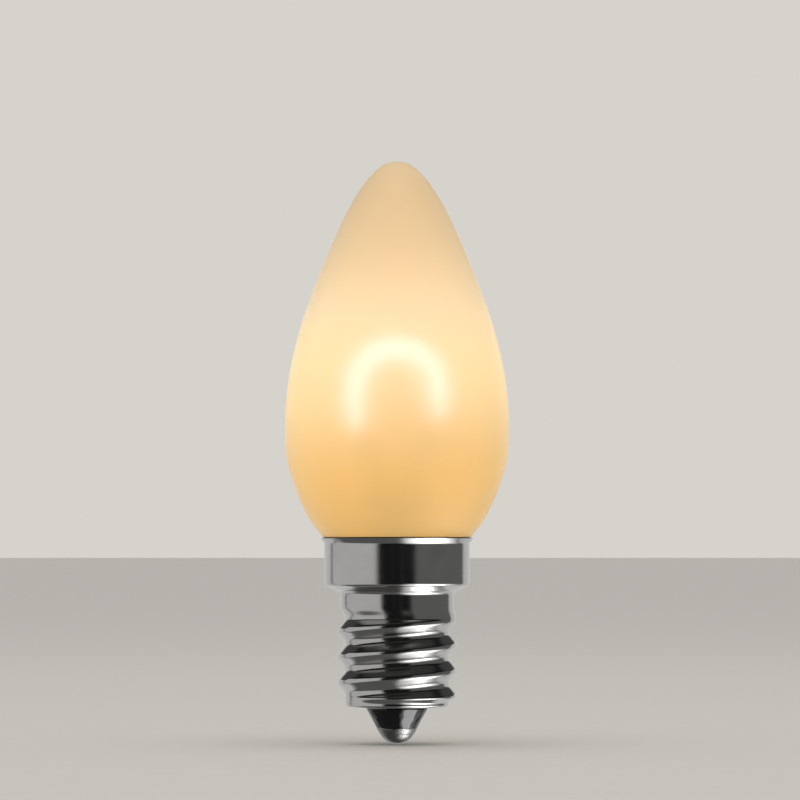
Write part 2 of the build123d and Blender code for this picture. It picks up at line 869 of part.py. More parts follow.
# Assembly, in the order in which the lamp is put together
strip = filament_strip()
chips = led_chips()
tabs = [filament_tab(-1), filament_tab(1)]
outer_leads = [outer_lead(-1), outer_lead(1)]
cap_leads = capacitor_leads()
lead_to_board = fuse_lead_board()
lead_to_shell = shell_wire()
nodes = {
    "glass_envelope": glass_envelope(),
    "glass_stem": glass_stem(),
    "dumet_seal_left": dumet_seal(-1),
    "dumet_seal_right": dumet_seal(1),
    "inner_lead_left": inner_lead(-1),
    "inner_lead_right": inner_lead(1),
    "outer_lead_left": outer_leads[0],
    "outer_lead_right": outer_leads[1],
    "filament_strip": strip,
    "led_chips": Compound(chips),
    "phosphor_jacket": phosphor_jacket([strip] + chips + tabs),
    "filament_tab_left": tabs[0],
    "filament_tab_right": tabs[1],
    "basing_cement": basing_cement(),
    "screw_shell": screw_shell(),
    "base_insulator": base_insulator(),
    "contact_eyelet": contact_eyelet(),
    "contact_solder": contact_solder(),
    "driver_board": driver_board(),
    "bridge_rectifier": bridge_rectifier(),
    "rectifier_legs": Compound(rectifier_legs()),
    "regulator_chip": regulator_chip(),
    "regulator_legs": Compound(regulator_legs()),
    "chip_resistors": Compound(chip_resistors()),
    "smoothing_capacitor": smoothing_capacitor(),
    "capacitor_leads": Compound(cap_leads),
    "fuse_resistor": fuse_resistor(),
    "fuse_lead_contact": fuse_lead_contact(),
    "fuse_lead_board": lead_to_board,
    "shell_wire": lead_to_shell,
    "shell_solder": shell_solder(lead_to_shell),
    "board_solder": Compound(board_solder(outer_leads + cap_leads + [lead_to_board, lead_to_shell])),
}
for name, solid in nodes.items():
    export_step(solid, f"parts/{name}.step")
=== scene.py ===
from math import atan2, cos, hypot, pi, radians, sin, sqrt, tan

import bmesh
import bpy
import numpy as np
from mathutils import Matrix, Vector, noise


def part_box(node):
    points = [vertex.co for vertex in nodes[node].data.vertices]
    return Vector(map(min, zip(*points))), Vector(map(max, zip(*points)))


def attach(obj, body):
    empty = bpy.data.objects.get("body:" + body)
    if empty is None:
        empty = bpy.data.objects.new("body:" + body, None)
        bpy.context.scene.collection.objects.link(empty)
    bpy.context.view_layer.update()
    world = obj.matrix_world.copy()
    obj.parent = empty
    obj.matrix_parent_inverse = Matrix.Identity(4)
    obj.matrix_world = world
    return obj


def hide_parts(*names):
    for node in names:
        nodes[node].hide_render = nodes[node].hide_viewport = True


# A small candle lamp with an LED filament, lit, standing on the tip of its screw base.
# Sizes are written in millimetres, and MM makes them metres, as meshes and nodes take them.
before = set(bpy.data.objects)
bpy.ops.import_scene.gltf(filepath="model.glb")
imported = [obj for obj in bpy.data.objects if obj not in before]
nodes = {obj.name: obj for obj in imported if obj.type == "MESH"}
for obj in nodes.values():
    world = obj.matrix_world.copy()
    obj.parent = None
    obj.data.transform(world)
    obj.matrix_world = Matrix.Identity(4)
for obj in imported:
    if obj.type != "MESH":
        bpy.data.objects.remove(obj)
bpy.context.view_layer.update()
MM = 0.001


# Filament: a flexible strip of chips in an oval jacket of phosphor-filled silicone, bent to an arch.
# The jacket is moulded along the strip and glows all over. The strip ends in two thin welded tabs.
def linear(colour):
    """Linear colour of an sRGB hex value, as nodes take it."""
    parts = [int(colour[i:i + 2], 16) / 255 for i in (1, 3, 5)]
    return [c / 12.92 if c <= 0.04045 else ((c + 0.055) / 1.055) ** 2.4 for c in parts] + [1.0]


def add(tree, kind, inputs=None, **settings):
    """Node with its settings. An input takes a value, or the node or socket that it is linked from."""
    made = tree.nodes.new(kind)
    for name, value in settings.items():
        setattr(made, name, value)
    for name, value in (inputs or {}).items():
        if isinstance(value, bpy.types.Node):
            value = value.outputs[0]
        if isinstance(value, bpy.types.NodeSocket):
            tree.links.new(value, made.inputs[name])
        else:
            made.inputs[name].default_value = value
    return made


def new_material(name):
    """Node material with an empty tree."""
    made = bpy.data.materials.new(name)
    made.use_nodes = True
    made.node_tree.nodes.clear()
    return made


def finished(material, shader):
    """Material with its shader put on the surface."""
    add(material.node_tree, "ShaderNodeOutputMaterial", {"Surface": shader})
    return material


def mottled(name, dark, light, grain, roughness, metallic=0.0, bump=0.1):
    """Two-tone finish whose gloss and height follow one grain, drawn coarse enough to show."""
    made = new_material(name)
    tree = made.node_tree
    place = add(tree, "ShaderNodeTexCoord").outputs["Object"]
    spots = add(tree, "ShaderNodeTexNoise", {"Vector": place, "Scale": 1 / (grain * MM), "Detail": 4.0})
    tone = add(tree, "ShaderNodeMix", {0: spots, 6: linear(dark), 7: linear(light)}, data_type="RGBA")
    low, high = roughness
    gloss = add(tree, "ShaderNodeMapRange", {"Value": spots, "To Min": low, "To Max": high})
    relief = add(tree, "ShaderNodeBump", {"Height": spots, "Strength": bump, "Distance": grain * MM / 2})
    shader = add(tree, "ShaderNodeBsdfPrincipled", {
        "Base Color": tone.outputs[2],
        "Metallic": metallic,
        "Roughness": gloss,
        "Normal": relief,
    })
    return finished(made, shader)


def dress(material, *names):
    """Gives CAD nodes a material."""
    for name in names:
        nodes[name].data.materials.clear()
        nodes[name].data.materials.append(material)


def new_tree(name, sizes):
    """Geometry tree with one geometry, named sizes and a material as inputs, and its input sockets."""
    tree = bpy.data.node_groups.new(name, "GeometryNodeTree")
    tree.interface.new_socket("Geometry", in_out="INPUT", socket_type="NodeSocketGeometry")
    for size in sizes:
        tree.interface.new_socket(size, in_out="INPUT", socket_type="NodeSocketFloat")
    tree.interface.new_socket("Material", in_out="INPUT", socket_type="NodeSocketMaterial")
    tree.interface.new_socket("Geometry", in_out="OUTPUT", socket_type="NodeSocketGeometry")
    return tree, add(tree, "NodeGroupInput").outputs


def end_tree(tree, geometry, material):
    """Ends a geometry tree in real, smooth faces of one material."""
    real = add(tree, "GeometryNodeRealizeInstances", {"Geometry": geometry})
    smooth = add(tree, "GeometryNodeSetShadeSmooth", {"Geometry": real})
    coated = add(tree, "GeometryNodeSetMaterial", {"Geometry": smooth, "Material": material})
    add(tree, "NodeGroupOutput", {"Geometry": coated})


def run_tree(piece, tree, values):
    """Puts a geometry tree on an object with its inputs set by name."""
    modifier = piece.modifiers.new(tree.name, "NODES")
    modifier.node_group = tree
    for item in tree.interface.items_tree:
        if item.in_out == "INPUT" and item.name in values:
            modifier[item.identifier] = values[item.name]


def shown(name, data):
    """Object of a mesh, curve, light or camera, put into the scene."""
    made = bpy.data.objects.new(name, data)
    bpy.context.scene.collection.objects.link(made)
    return made


def baked(piece, name):
    """Plain mesh object of what an object's modifiers give; the object itself is removed."""
    graph = bpy.context.evaluated_depsgraph_get()
    mesh = bpy.data.meshes.new_from_object(piece.evaluated_get(graph))
    mesh.name = name
    bpy.data.objects.remove(piece)
    return shown(name, mesh)


def lit_phosphor(chip_pitch, glow):
    """Yellow phosphor in clear silicone, lit: a creamy even glow, a little stronger over each chip."""
    made = new_material("lit_phosphor_silicone")
    tree = made.node_tree
    run = add(tree, "ShaderNodeAttribute", attribute_name="run").outputs["Fac"]
    turn = add(tree, "ShaderNodeMath", {0: run, 1: 2 * pi / chip_pitch}, operation="MULTIPLY")
    wave = add(tree, "ShaderNodeMath", {0: turn}, operation="COSINE")
    low, high = glow
    power = add(tree, "ShaderNodeMapRange",
                {"Value": wave, "From Min": -1.0, "To Min": low, "To Max": high})
    place = add(tree, "ShaderNodeTexCoord").outputs["Object"]
    grain = add(tree, "ShaderNodeTexNoise", {"Vector": place, "Scale": 1 / (0.1 * MM), "Detail": 3.0})
    tone = add(tree, "ShaderNodeMix", {0: grain, 6: linear("#e9b33f"), 7: linear("#f7cd60")},
               data_type="RGBA")
    shader = add(tree, "ShaderNodeBsdfPrincipled", {
        "Base Color": tone.outputs[2],
        "Roughness": 0.45,
        "Emission Color": linear("#eec6ff"),  # lilac, which the yellow of the frost turns to warm white
        "Emission Strength": power,
    })
    return finished(made, shader)


def jacket_tree():
    """Oval tube along a path, with rounded ends; the run along the path is kept for the glow."""
    tree, sizes = new_tree("mould_jacket", ["Thickness", "Width", "Step"])
    path = add(tree, "GeometryNodeResampleCurve",
               {"Curve": sizes["Geometry"], "Length": sizes["Step"]}, mode="LENGTH")
    run = add(tree, "GeometryNodeSplineParameter").outputs["Length"]
    whole = add(tree, "GeometryNodeSplineLength").outputs["Length"]
    rest = add(tree, "ShaderNodeMath", {0: whole, 1: run}, operation="SUBTRACT")
    near = add(tree, "ShaderNodeMath", {0: run, 1: rest}, operation="MINIMUM")
    half = add(tree, "ShaderNodeMath", {0: sizes["Thickness"], 1: 0.5}, operation="MULTIPLY")
    share = add(tree, "ShaderNodeMath", {0: near, 1: half}, operation="DIVIDE", use_clamp=True)
    missing = add(tree, "ShaderNodeMath", {0: 1.0, 1: share}, operation="SUBTRACT")
    square = add(tree, "ShaderNodeMath", {0: missing, 1: missing}, operation="MULTIPLY")
    left = add(tree, "ShaderNodeMath", {0: 1.0, 1: square}, operation="SUBTRACT")
    swell = add(tree, "ShaderNodeMath", {0: left}, operation="SQRT")
    kept = add(tree, "GeometryNodeStoreNamedAttribute", {"Geometry": path, "Name": "run", "Value": run})
    circle = add(tree, "GeometryNodeCurvePrimitiveCircle", {"Resolution": 28, "Radius": 0.5})
    oval = add(tree, "ShaderNodeCombineXYZ", {"X": sizes["Thickness"], "Y": sizes["Width"], "Z": 1.0})
    profile = add(tree, "GeometryNodeTransform", {"Geometry": circle, "Scale": oval})
    tube = add(tree, "GeometryNodeCurveToMesh", {
        "Curve": kept,
        "Profile Curve": profile,
        "Scale": swell,
        "Fill Caps": True,
    })
    closed = add(tree, "GeometryNodeMergeByDistance", {"Geometry": tube, "Distance": 0.001 * MM})
    end_tree(tree, closed, sizes["Material"])
    return tree


jacket_thickness = 1.1 * MM
jacket_step = 0.11 * MM
short_leg = 1.2 * MM         # the right leg of the arch is shorter by this much
chip_pitch = 0.95 * MM
arch_glow = 6.6, 7.4         # between two chips and over a chip
jacket_low, jacket_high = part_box("phosphor_jacket")
arch_radius = jacket_high.x - jacket_thickness / 2
arch_height = jacket_high.z - jacket_high.x
arch_steps = 48
arch_path = [Vector((-arch_radius, 0, jacket_low.z))]
for i in range(arch_steps + 1):
    turn = pi * (1 - i / arch_steps)
    arch_path.append(Vector((arch_radius * cos(turn), 0, arch_height + arch_radius * sin(turn))))
arch_path.append(Vector((arch_radius, 0, jacket_low.z + short_leg)))

line = bpy.data.curves.new("arch_path", "CURVE")
line.dimensions = "3D"
spline = line.splines.new("POLY")
spline.points.add(len(arch_path) - 1)
for point, place in zip(spline.points, arch_path):
    point.co = (*place, 1.0)
arch = shown("arch_path", line)
run_tree(arch, jacket_tree(), {
    "Thickness": jacket_thickness,
    "Width": jacket_high.y - jacket_low.y,
    "Step": jacket_step,
    "Material": lit_phosphor(chip_pitch, arch_glow),
})
jacket = baked(arch, "phosphor_coating")
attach(jacket, "root")
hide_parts("phosphor_jacket")

# polyimide film: amber, with a faint gloss
film = mottled("polyimide_flex_strip", "#b9792a", "#d79a45", grain=0.08, roughness=(0.35, 0.5))
dress(film, "filament_strip")
# grown and polished sapphire: pale blue and bright
crystal = mottled("sapphire_led_chip", "#b8c6dd", "#dfe8f4", grain=0.1, roughness=(0.08, 0.15), bump=0.02)
dress(crystal, "led_chips")
# plated strip metal: clean warm grey, a little dull
plated_strip = mottled("nickel_plated_tab", "#a9a7a1", "#c9c6bf", grain=0.05, roughness=(0.25, 0.4),
                       metallic=1.0)
dress(plated_strip, "filament_tab_left", "filament_tab_right")
for glowing in (jacket, nodes["filament_strip"], nodes["led_chips"]):
    glowing.visible_glossy = False  # only the frost shows them, so the cap doesn't mirror a bare arch


# Mount: a clear glass stem, flared at its foot and pinched flat at its top round two lead wires.
# Nickel wires carry the filament, copper-clad wires seal in the press and copper runs on to the driver.
def stem_glass():
    """Flame-worked soda glass: clear and wet-looking, with faint waves where it was pinched."""
    made = new_material("flame_worked_clear_glass")
    tree = made.node_tree
    place = add(tree, "ShaderNodeTexCoord").outputs["Object"]
    waves = add(tree, "ShaderNodeTexNoise", {"Vector": place, "Scale": 1 / (1.6 * MM), "Detail": 2.0})
    tone = add(tree, "ShaderNodeMix", {0: waves, 6: linear("#eef5f0"), 7: linear("#f9fbfa")},
               data_type="RGBA")
    relief = add(tree, "ShaderNodeBump", {"Height": waves, "Strength": 0.08, "Distance": 0.3 * MM})
    shader = add(tree, "ShaderNodeBsdfPrincipled", {
        "Base Color": tone.outputs[2],
        "Roughness": 0.03,
        "IOR": 1.52,
        "Transmission Weight": 1.0,
        "Normal": relief,
    })
    return finished(made, shader)


dress(stem_glass(), "glass_stem")
# drawn nickel: clean grey wire with a soft shine
nickel_wire = mottled("drawn_nickel_wire", "#9d9b96", "#bdbab3", grain=0.12, roughness=(0.22, 0.36),
                      metallic=1.0)
dress(nickel_wire, "inner_lead_left", "inner_lead_right")
# borated copper on an alloy core: dark red, as if glazed
seal_wire = mottled("borated_copper_clad_wire", "#7a2f1c", "#a5492b", grain=0.1, roughness=(0.2, 0.35),
                    metallic=1.0)
dress(seal_wire, "dumet_seal_left", "dumet_seal_right")
# drawn copper: bright pink-brown wire
copper_wire = mottled("drawn_copper_wire", "#b5633a", "#d4824f", grain=0.12, roughness=(0.22, 0.38),
                      metallic=1.0)
dress(copper_wire, "outer_lead_left", "outer_lead_right", "shell_wire")


# Glass envelope: one blown candle-shaped bulb, frosted inside and fire-polished outside.
# Its neck is sealed to the flare of the stem and cemented into the skirt of the cap.
def turned_walls(name):
    """Outer and inner outline of a turned hollow node, as radii and heights from low to its poles."""
    mesh = nodes[name].data
    low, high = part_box(name)
    middle = (low + high) / 2
    pole = 0.02 * MM             # faces nearer to the axis are too thin to tell which way they point
    level = 0.999                # a face this upright in its normal is the flat cut rim of the neck
    found = {True: {}, False: {}}
    for face in mesh.polygons:
        cut_rim = abs(face.normal.z) > level and face.center.z < middle.z
        if cut_rim or face.center.xy.length < pole:
            continue
        outside = face.normal.dot(face.center - middle) > 0
        for corner in face.vertices:
            place = mesh.vertices[corner].co
            found[outside][round(place.z, 8)] = hypot(place.x, place.y)
    walls = []
    for outside in (True, False):
        heights = np.array(sorted(found[outside]))
        radii = np.array([found[outside][z] for z in heights])
        radii[-1] = 0
        walls.append((radii, heights))
    return walls


def evenly(radii, heights, rows):
    """Outline taken again at even steps along its length."""
    run = np.concatenate([[0], np.cumsum(np.hypot(np.diff(radii), np.diff(heights)))])
    steps = np.linspace(0, run[-1], rows)
    return list(zip(np.interp(steps, run, radii), np.interp(steps, run, heights)))


def turned(name, outline, around, closed=True):
    """Mesh turned about the axis from radii and heights, with single points on the axis."""
    on_axis = 1e-4 * MM          # a ring smaller than this is one point
    made = bmesh.new()
    rings = []
    for radius, height in outline:
        if radius < on_axis:
            rings.append([made.verts.new((0, 0, height))] * around)
            continue
        ring = []
        for i in range(around):
            turn = 2 * pi * i / around
            ring.append(made.verts.new((radius * cos(turn), radius * sin(turn), height)))
        rings.append(ring)
    pairs = list(zip(rings, rings[1:] + rings[:1]))
    for lower, upper in pairs if closed else pairs[:-1]:
        for i in range(around):
            j = (i + 1) % around
            corners = []
            for corner in (lower[i], lower[j], upper[j], upper[i]):
                if corner not in corners:
                    corners.append(corner)
            if len(corners) > 2:
                made.faces.new(corners)
    for face in made.faces:
        face.smooth = True
    mesh = bpy.data.meshes.new(name)
    made.to_mesh(mesh)
    made.free()
    return mesh


def lamplight(mesh):
    """Light that the arch throws on each point of a mesh, square to its surface."""
    places = np.array([v.co[:] for v in mesh.vertices])
    normals = np.array([v.normal[:] for v in mesh.vertices])
    ends = np.array([p[:] for p in arch_path])
    sources = (ends[1:] + ends[:-1]) / 2
    lengths = np.linalg.norm(ends[1:] - ends[:-1], axis=1)
    away = sources[None, :, :] - places[:, None, :]
    reach = np.linalg.norm(away, axis=2)
    facing = np.abs((away * normals[:, None, :]).sum(2)) / reach
    return (facing * lengths / reach ** 2).sum(1)


def frosted_glass(glow_hues, stray_light, direct_light):
    """Soda-lime glass, etched inside: milky, with a painted glow for the light from within, and a painted
    tint, cream above and amber by the cap.
    """
    made = new_material("inside_frosted_soda_glass")
    tree = made.node_tree
    place = add(tree, "ShaderNodeTexCoord").outputs["Object"]
    height = add(tree, "ShaderNodeSeparateXYZ", {0: place}).outputs["Z"]
    # painted light: the tint turns from amber by the cap to cream above, for the colour of the light on
    # the frost at each height
    amber_top, cream_low = 24 * MM, 36 * MM
    rise = add(tree, "ShaderNodeMapRange", {"Value": height, "From Min": amber_top, "From Max": cream_low},
               interpolation_type="SMOOTHSTEP")
    painted_light_tint = add(tree, "ShaderNodeMix", {0: rise, 6: linear("#ffe1aa"), 7: linear("#ffedce")},
               data_type="RGBA")
    # the pits of a real etch are far finer, so the frost is drawn coarse enough to show
    frost = add(tree, "ShaderNodeTexNoise", {"Vector": place, "Scale": 1 / (0.35 * MM), "Detail": 3.0})
    etch = add(tree, "ShaderNodeMapRange", {"Value": frost, "To Min": 0.36, "To Max": 0.42})

    # painted glow: the frost is given as emission the light that reaches it, straight from the arch and
    # bounced about inside
    foot, tip = 20 * MM, 58 * MM
    level = add(tree, "ShaderNodeMapRange", {"Value": height, "From Min": foot, "From Max": tip})
    glow = add(tree, "ShaderNodeValToRGB", {0: level})
    hues = glow.color_ramp.elements
    while len(hues) < len(glow_hues):
        hues.new(0.5)
    for hue, (z, colour) in zip(hues, glow_hues):
        hue.position = (z * MM - foot) / (tip - foot)
        hue.color = linear(colour)
    by_cap, above = stray_light
    stray = add(tree, "ShaderNodeMapRange", {"Value": rise, "To Min": by_cap, "To Max": above})
    light = add(tree, "ShaderNodeAttribute", attribute_name="lamplight").outputs["Fac"]
    lit = add(tree, "ShaderNodeMath", {0: light, 1: direct_light, 2: stray}, operation="MULTIPLY_ADD")
    cloud = add(tree, "ShaderNodeMapRange", {"Value": frost, "To Min": 0.97, "To Max": 1.03})
    power = add(tree, "ShaderNodeMath", {0: lit, 1: cloud}, operation="MULTIPLY")
    shader = add(tree, "ShaderNodeBsdfPrincipled", {
        "Base Color": painted_light_tint.outputs[2],
        "Roughness": etch,
        "IOR": 1.5,
        "Specular IOR Level": 0.0,
        "Transmission Weight": 0.5,
        "Coat Weight": 0.2,
        "Coat Roughness": 0.06,
        "Coat IOR": 1.25,
        "Sheen Weight": 0.3,
        "Sheen Roughness": 0.35,
        "Emission Color": glow,
        "Emission Strength": power,
    })
    return finished(made, shader)


# colour of the painted glow of the lit frost by height: amber near the cap, cream round the arch, warmer
# again at the tip
glow_hues = (27, "#ffd868"), (36, "#ffe99a"), (43, "#fff0c4"), (55, "#ffd87a")
stray_light = 0.08, 0.045    # light that has bounced about inside, by the cap and above
direct_light = 0.88          # strength of the glow for each unit of light straight from the arch
outer_wall, inner_wall = turned_walls("glass_envelope")
outline = evenly(*outer_wall, rows=150) + evenly(*inner_wall, rows=90)[::-1]
envelope = shown("frosted_envelope", turned("frosted_envelope", outline, around=128))
light = envelope.data.attributes.new("lamplight", "FLOAT", "POINT")
light.data.foreach_set("value", lamplight(envelope.data) * MM)
envelope.data.materials.append(frosted_glass(glow_hues, stray_light, direct_light))
envelope.visible_glossy = False  # the cap shows the studio alone
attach(envelope, "root")
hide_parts("glass_envelope")


# Driver: a small upright board inside the shell with a rectifier, a regulator and chip resistors.
# A can capacitor and a fusible resistor stand beside it, and solder joins their wires to the board.
def banded(name, ground, band, width, pitch, axis, roughness):
    """Coat with cross bands of a second colour at a pitch along one axis, in millimetres."""
    made = new_material(name)
    tree = made.node_tree
    place = add(tree, "ShaderNodeTexCoord").outputs["Object"]
    along = add(tree, "ShaderNodeSeparateXYZ", {0: place}).outputs[axis]
    count = add(tree, "ShaderNodeMath", {0: along, 1: pitch * MM}, operation="DIVIDE")
    off = add(tree, "ShaderNodeMath", {0: count, 1: 0.5}, operation="PINGPONG")
    limit = 0.5 - width / pitch / 2
    on_band = add(tree, "ShaderNodeMath", {0: off, 1: limit}, operation="GREATER_THAN")
    tone = add(tree, "ShaderNodeMix", {0: on_band, 6: linear(ground), 7: linear(band)}, data_type="RGBA")
    shader = add(tree, "ShaderNodeBsdfPrincipled", {"Base Color": tone.outputs[2], "Roughness": roughness})
    return finished(made, shader)


# glass-fibre board under solder mask: even green with a satin face
laminate = mottled("solder_masked_laminate", "#1f4a2c", "#2c6540", grain=0.25, roughness=(0.3, 0.42))
dress(laminate, "driver_board")
# moulded epoxy: matt black with a fine grain
epoxy = mottled("moulded_epoxy", "#17181a", "#26282b", grain=0.06, roughness=(0.4, 0.6))
dress(epoxy, "bridge_rectifier", "regulator_chip")
# glazed ceramic with tinned ends: black bodies between pale bands
chip_glaze = banded("glazed_chip_resistor", "#1d1d20", "#c9c8c4", width=0.6, pitch=1.6, axis="X",
                    roughness=0.35)
dress(chip_glaze, "chip_resistors")
# shrunk vinyl: smooth and nearly black
sleeve = mottled("shrunk_vinyl_sleeve", "#14161c", "#20232c", grain=0.4, roughness=(0.25, 0.35))
dress(sleeve, "smoothing_capacitor")
# dipped lacquer: tan with brown value bands
lacquer = banded("lacquered_film_resistor", "#b9a27a", "#6b3a22", width=0.3, pitch=0.7, axis="Z",
                 roughness=0.3)
dress(lacquer, "fuse_resistor")
# tinned copper: pale grey wire, a little dull
tinned = mottled("tinned_copper_wire", "#a8a8a6", "#c8c8c4", grain=0.15, roughness=(0.25, 0.42),
                 metallic=1.0)
dress(tinned, "rectifier_legs", "regulator_legs", "capacitor_leads",
      "fuse_lead_contact", "fuse_lead_board")


# Base contact: a cone of black glass pressed into the foot of the shell, with a brass eyelet through it.
# A rounded nose of solder closes the eyelet and is the centre contact.
def rounded(corners, radii, step):
    """Outline through corners, each turned into an arc of its radius with points a step apart."""
    straight = 0.01              # a corner this near to straight, in radians, stays a point
    points = [corners[0]]
    for before, corner, after, radius in zip(corners, corners[1:], corners[2:], radii):
        back = (before - corner).normalized()
        ahead = (after - corner).normalized()
        half = back.angle(ahead) / 2
        if radius == 0 or half > pi / 2 - straight:
            points.append(corner)
            continue
        start = corner + back * (radius * cos(half) / sin(half))
        centre = corner + (back + ahead).normalized() * (radius / sin(half))
        sweep = pi - 2 * half
        spoke = start - centre
        side = 1 if back.x * ahead.y - back.y * ahead.x < 0 else -1
        count = max(2, round(radius * sweep / step))
        for i in range(count + 1):
            turn = side * sweep * i / count
            points.append(centre + Vector((
                spoke.x * cos(turn) - spoke.y * sin(turn),
                spoke.x * sin(turn) + spoke.y * cos(turn),
            )))
    return points + [corners[-1]]


def pressed_glass():
    """Black base glass, pressed hot and fire-polished: deep black with a wet, slightly wavy gloss."""
    made = new_material("pressed_black_glass")
    tree = made.node_tree
    place = add(tree, "ShaderNodeTexCoord").outputs["Object"]
    waves = add(tree, "ShaderNodeTexNoise", {"Vector": place, "Scale": 1 / (1.5 * MM), "Detail": 1.0})
    tone = add(tree, "ShaderNodeMix", {0: waves, 6: linear("#060607"), 7: linear("#101012")},
               data_type="RGBA")
    gloss = add(tree, "ShaderNodeMapRange", {"Value": waves, "To Min": 0.05, "To Max": 0.12})
    relief = add(tree, "ShaderNodeBump", {"Height": waves, "Strength": 0.8, "Distance": 0.2 * MM})
    shader = add(tree, "ShaderNodeBsdfPrincipled", {
        "Base Color": tone.outputs[2],
        "Roughness": gloss,
        "IOR": 1.55,
        "Normal": relief,
    })
    return finished(made, shader)


insulator_low, insulator_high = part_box("base_insulator")
shell_low, shell_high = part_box("screw_shell")
nose_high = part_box("contact_solder")[1]
nose_radius = nose_high.x
cone_foot = insulator_low.z
bore = 0.64 * MM
cone_radius = 3.15 * MM
throat = 2.89 * MM           # where the glass passes through the foot of the shell
sheet = 0.22 * MM
corners = [
    (bore, cone_foot),
    (nose_radius, cone_foot),
    (cone_radius, shell_low.z),
    (throat, shell_low.z),
    (throat, shell_low.z + sheet),
    (insulator_high.x, shell_low.z + sheet),
    (insulator_high.x, insulator_high.z),
    (bore, insulator_high.z),
]
corners = [Vector(c) for c in corners]
edge = 0.08 * MM
outline = rounded(corners, [edge, 2 * edge, 0, 0, edge, edge], edge / 4)
insulator = shown("black_glass_cone", turned("black_glass_cone", outline, around=96))
insulator.data.materials.append(pressed_glass())
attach(insulator, "root")
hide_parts("base_insulator")

# stamped brass: warm yellow metal, hardly polished
brass = mottled("stamped_brass", "#9c7a35", "#c49d4f", grain=0.2, roughness=(0.22, 0.38), metallic=1.0)
dress(brass, "contact_eyelet")


def solder():
    """Tin solder, frozen from a drop: grey metal, satin, with its grain drawn coarse enough to show."""
    made = new_material("tin_solder")
    tree = made.node_tree
    place = add(tree, "ShaderNodeTexCoord").outputs["Object"]
    grain = add(tree, "ShaderNodeTexNoise", {"Vector": place, "Scale": 1 / (0.12 * MM), "Detail": 5.0})
    tone = add(tree, "ShaderNodeMix", {0: grain, 6: linear("#6c6c6a"), 7: linear("#a2a29e")},
               data_type="RGBA")
    gloss = add(tree, "ShaderNodeMapRange", {"Value": grain, "To Min": 0.12, "To Max": 0.42})
    relief = add(tree, "ShaderNodeBump", {"Height": grain, "Strength": 0.3, "Distance": 0.05 * MM})
    shader = add(tree, "ShaderNodeBsdfPrincipled", {
        "Base Color": tone.outputs[2],
        "Metallic": 1.0,
        "Roughness": gloss,
        "Normal": relief,
    })
    return finished(made, shader)


tin_solder = solder()
dress(tin_solder, "board_solder", "shell_solder")

cone_angle = atan2(cone_radius - nose_radius, shell_low.z - cone_foot)
lap = 0.16 * MM              # height to which the solder wets the glass above the foot of the cone
skin = 0.035 * MM            # thickness of the solder there
ripple = 0.8 * MM            # spacing of the waves in its rim and of the dimples in its face
dimple = 0.012               # depth of the dimples as a share of the radius
eyelet_radius = 1.25 * MM
eyelet_floor = 1.27 * MM
eyelet_bore = 0.45 * MM
lead_radius = 0.225 * MM
lead_end = 0.725 * MM
# the tip is a ball that stands on the floor and runs on into the slope of the cone
tip_bend = (nose_radius - cone_foot * tan(cone_angle)) / (1 / cos(cone_angle) - tan(cone_angle))
tip_steps = 28
lap_steps = 16
outline = []
for i in range(tip_steps + 1):
    turn = (pi / 2 - cone_angle) * i / tip_steps
    outline.append((tip_bend * sin(turn), tip_bend * (1 - cos(turn))))
bend_radius, bend_height = outline[-1]
for i in range(1, lap_steps + 1):
    share = i / lap_steps
    height = bend_height + (cone_foot + lap - bend_height) * share
    swell = skin * sqrt(4 * share * (1 - share))
    outline.append((bend_radius + (height - bend_height) * tan(cone_angle) + swell, height))
outline += [
    (nose_radius - skin, cone_foot),
    (eyelet_radius, cone_foot),
    (eyelet_radius, eyelet_floor),
    (eyelet_bore, eyelet_floor),
    (eyelet_bore, nose_high.z),
    (lead_radius, nose_high.z),
    (lead_radius, lead_end),
    (0, lead_end),
]
drop = turned("solder_nose", outline, around=128)
for point in drop.vertices:
    place = point.co
    wave = noise.noise(place / ripple)
    if place.z > cone_foot and place.xy.length > nose_radius - skin:
        rise = (place.z - cone_foot) * wave
        place.xy *= 1 + rise * tan(cone_angle) / place.xy.length
        place.z += rise
    elif place.xy.length > eyelet_radius or place.z < lead_end:
        place.xy *= 1 - dimple * (1 + wave)
nose = shown("solder_nose", drop)
nose.data.materials.append(tin_solder)
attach(nose, "root")
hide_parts("contact_solder")


# Screw shell: plated sheet, drawn to a stepped cap with a flared lip and an inturned foot.
# An Edison thread is rolled into its lower tube, and fades out into the plain band above.
def plated_nickel():
    """Bright nickel plate: a clean mirror, softened by a speckle that is drawn coarse enough to show."""
    made = new_material("bright_nickel_plate")
    tree = made.node_tree
    place = add(tree, "ShaderNodeTexCoord").outputs["Object"]
    speckle = add(tree, "ShaderNodeTexNoise", {"Vector": place, "Scale": 1 / (0.1 * MM), "Detail": 3.0})
    haze = add(tree, "ShaderNodeTexNoise", {"Vector": place, "Scale": 1 / (2.2 * MM), "Detail": 2.0})
    tone = add(tree, "ShaderNodeMix", {0: haze, 6: linear("#b9b8b5"), 7: linear("#cbcac8")},
               data_type="RGBA")
    both = add(tree, "ShaderNodeMath", {0: speckle, 1: haze}, operation="MULTIPLY")
    gloss = add(tree, "ShaderNodeMapRange", {"Value": both, "To Min": 0.1, "To Max": 0.3})
    relief = add(tree, "ShaderNodeBump", {"Height": speckle, "Strength": 0.2, "Distance": 0.03 * MM})
    shader = add(tree, "ShaderNodeBsdfPrincipled", {
        "Base Color": tone.outputs[2],
        "Metallic": 1.0,
        "Roughness": gloss,
        "Normal": relief,
    })
    return finished(made, shader)


